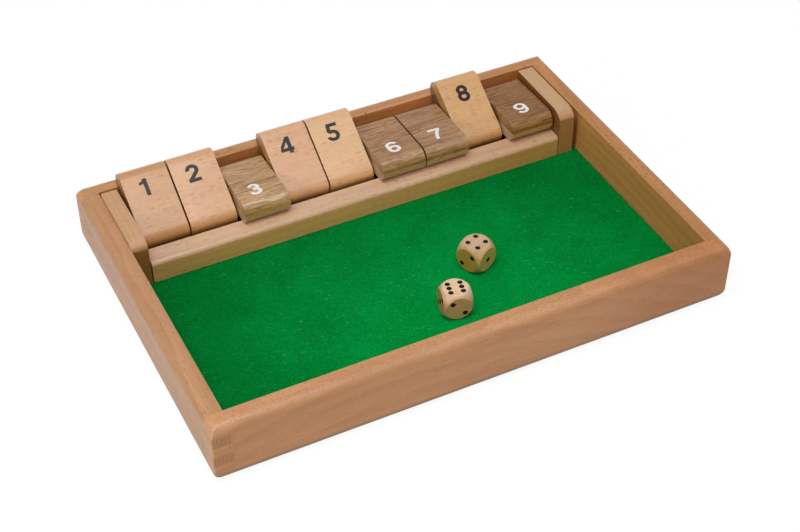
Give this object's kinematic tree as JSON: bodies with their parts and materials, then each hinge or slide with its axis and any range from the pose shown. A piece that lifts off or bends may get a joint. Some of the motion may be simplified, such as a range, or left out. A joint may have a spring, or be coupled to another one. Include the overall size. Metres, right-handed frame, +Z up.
{
  "type": "shut the box game",
  "caption": "Shallow wooden game tray with a felt floor, a row of numbered beech-and-walnut tiles that flip over on a rod near the back, and loose dice.",
  "frame": {"origin": "middle of the tray's underside", "axes": "+X along the row of tiles towards the highest number, +Y towards the back board behind the row, +Z up"},
  "size_m": [0.34, 0.234, 0.0548],
  "materials": {
    "board": "satin clear lacquer on beech",
    "panel": "raw plywood",
    "felt": "green wool felt with a short nap",
    "insert": "satin clear lacquer on beech",
    "rod": "drawn steel rod",
    "tile_beech": "satin clear lacquer on beech",
    "tile_walnut": "satin clear lacquer on walnut",
    "die": "polished pale hardwood with black pips"
  },
  "bodies": {
    "tray": {"front_board": "board", "back_board": "board", "left_board": "board", "right_board": "board", "base_panel": "panel", "felt": "felt", "left_cheek": "insert", "right_cheek": "insert", "front_rail": "insert", "axle_rod": "rod"},
    "tile_1": {"tile_1_beech": "tile_beech", "tile_1_walnut": "tile_walnut"},
    "tile_2": {"tile_2_beech": "tile_beech", "tile_2_walnut": "tile_walnut"},
    "tile_3": {"tile_3_beech": "tile_beech", "tile_3_walnut": "tile_walnut"},
    "tile_4": {"tile_4_beech": "tile_beech", "tile_4_walnut": "tile_walnut"},
    "tile_5": {"tile_5_beech": "tile_beech", "tile_5_walnut": "tile_walnut"},
    "tile_6": {"tile_6_beech": "tile_beech", "tile_6_walnut": "tile_walnut"},
    "tile_7": {"tile_7_beech": "tile_beech", "tile_7_walnut": "tile_walnut"},
    "tile_8": {"tile_8_beech": "tile_beech", "tile_8_walnut": "tile_walnut"},
    "tile_9": {"tile_9_beech": "tile_beech", "tile_9_walnut": "tile_walnut"},
    "far_die": {"far_die": "die"},
    "near_die": {"near_die": "die"}
  },
  "joints": [
    {"name": "tile_1_flip", "type": "hinge", "parent": "tray", "child": "tile_1", "pos_m": [-0.13, 0.0795, 0.0343], "axis": [1, 0, 0], "range_deg": [0, 144.7]},
    {"name": "tile_2_flip", "type": "hinge", "parent": "tray", "child": "tile_2", "pos_m": [-0.098, 0.0795, 0.0343], "axis": [1, 0, 0], "range_deg": [0, 144.7]},
    {"name": "tile_3_flip", "type": "hinge", "parent": "tray", "child": "tile_3", "pos_m": [-0.066, 0.0795, 0.0343], "axis": [1, 0, 0], "range_deg": [-144.7, 0]},
    {"name": "tile_4_flip", "type": "hinge", "parent": "tray", "child": "tile_4", "pos_m": [-0.034, 0.0795, 0.0343], "axis": [1, 0, 0], "range_deg": [0, 144.7]},
    {"name": "tile_5_flip", "type": "hinge", "parent": "tray", "child": "tile_5", "pos_m": [-0.002, 0.0795, 0.0343], "axis": [1, 0, 0], "range_deg": [0, 144.7]},
    {"name": "tile_6_flip", "type": "hinge", "parent": "tray", "child": "tile_6", "pos_m": [0.03, 0.0795, 0.0343], "axis": [1, 0, 0], "range_deg": [-144.7, 0]},
    {"name": "tile_7_flip", "type": "hinge", "parent": "tray", "child": "tile_7", "pos_m": [0.062, 0.0795, 0.0343], "axis": [1, 0, 0], "range_deg": [-144.7, 0]},
    {"name": "tile_8_flip", "type": "hinge", "parent": "tray", "child": "tile_8", "pos_m": [0.094, 0.0795, 0.0343], "axis": [1, 0, 0], "range_deg": [0, 144.7]},
    {"name": "tile_9_flip", "type": "hinge", "parent": "tray", "child": "tile_9", "pos_m": [0.126, 0.0795, 0.0343], "axis": [1, 0, 0], "range_deg": [-144.7, 0]},
    {"name": "far_die_lift", "type": "slide", "parent": "tray", "child": "far_die", "axis": [0, 0, 1], "range_m": [0, 0.06]},
    {"name": "near_die_lift", "type": "slide", "parent": "tray", "child": "near_die", "axis": [0, 0, 1], "range_m": [0, 0.06]}
  ]
}
